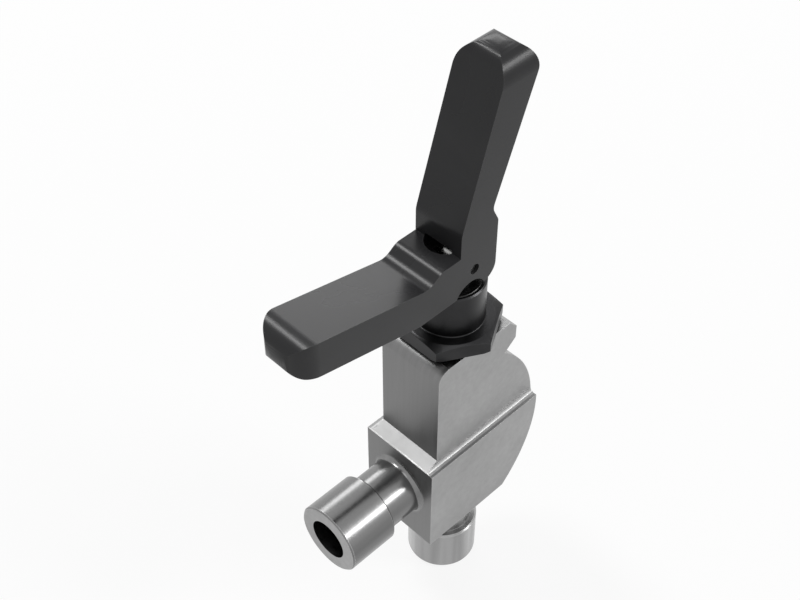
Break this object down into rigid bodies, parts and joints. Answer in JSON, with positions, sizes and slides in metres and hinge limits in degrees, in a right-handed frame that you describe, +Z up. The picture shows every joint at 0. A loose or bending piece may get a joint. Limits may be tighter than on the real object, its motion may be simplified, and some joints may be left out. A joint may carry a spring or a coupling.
{
  "type": "toggle valve",
  "caption": "Small angle shut-off valve with two round pipe ends, a turned bonnet and a black toggle handle whose cam foot lifts a spring-loaded stem off its soft seat.",
  "frame": {"origin": "centre of the lower pipe end's face", "axes": "+Z up along the stem, -X out of the side pipe end, +Y along the handle's cross pin"},
  "size_m": [0.0543, 0.0192, 0.1185],
  "materials": {
    "body_steel": "fine satin, milled",
    "bonnet_black": "black coated steel, satin",
    "bonnet_washer_dark": "dark, matt",
    "seal_rubber": "matt",
    "bush_plastic": "matt",
    "wear_steel": "turned",
    "stem_steel": "ground",
    "spring_steel": "drawn wire",
    "seat_plastic": "soft white",
    "handle_black": "black moulded nylon, fine grain",
    "pin_steel": "ground"
  },
  "bodies": {
    "valve": {"body": "body_steel", "bonnet": "bonnet_black", "bonnet_washer": "bonnet_washer_dark", "bonnet_o_ring": "seal_rubber", "stem_bush": "bush_plastic", "dust_ring": "seal_rubber", "cam_washer": "wear_steel", "spring_upper_washer": "stem_steel", "stem_spring": "spring_steel"},
    "stem": {"stem": "stem_steel", "stem_tip": "seat_plastic", "tip_washer": "stem_steel", "tip_nut": "stem_steel", "stem_o_ring": "seal_rubber", "backup_ring_lower": "seat_plastic", "backup_ring_upper": "seat_plastic", "spring_lower_washer": "stem_steel"},
    "handle": {"handle": "handle_black", "handle_pin": "pin_steel"}
  },
  "joints": [
    {"name": "stem_lift", "type": "slide", "parent": "valve", "child": "stem", "axis": [0, 0, 1], "range_m": [0, 0.00113], "deforming": ["stem_spring"]},
    {"name": "handle_turn", "type": "hinge", "parent": "stem", "child": "handle", "pos_m": [0, 0, 0.0808], "axis": [0, 1, 0], "range_deg": [0, 59]}
  ],
  "couplings": [
    {"joint": "handle_turn", "follows": "stem_lift", "rad_per_m": 909.09}
  ]
}
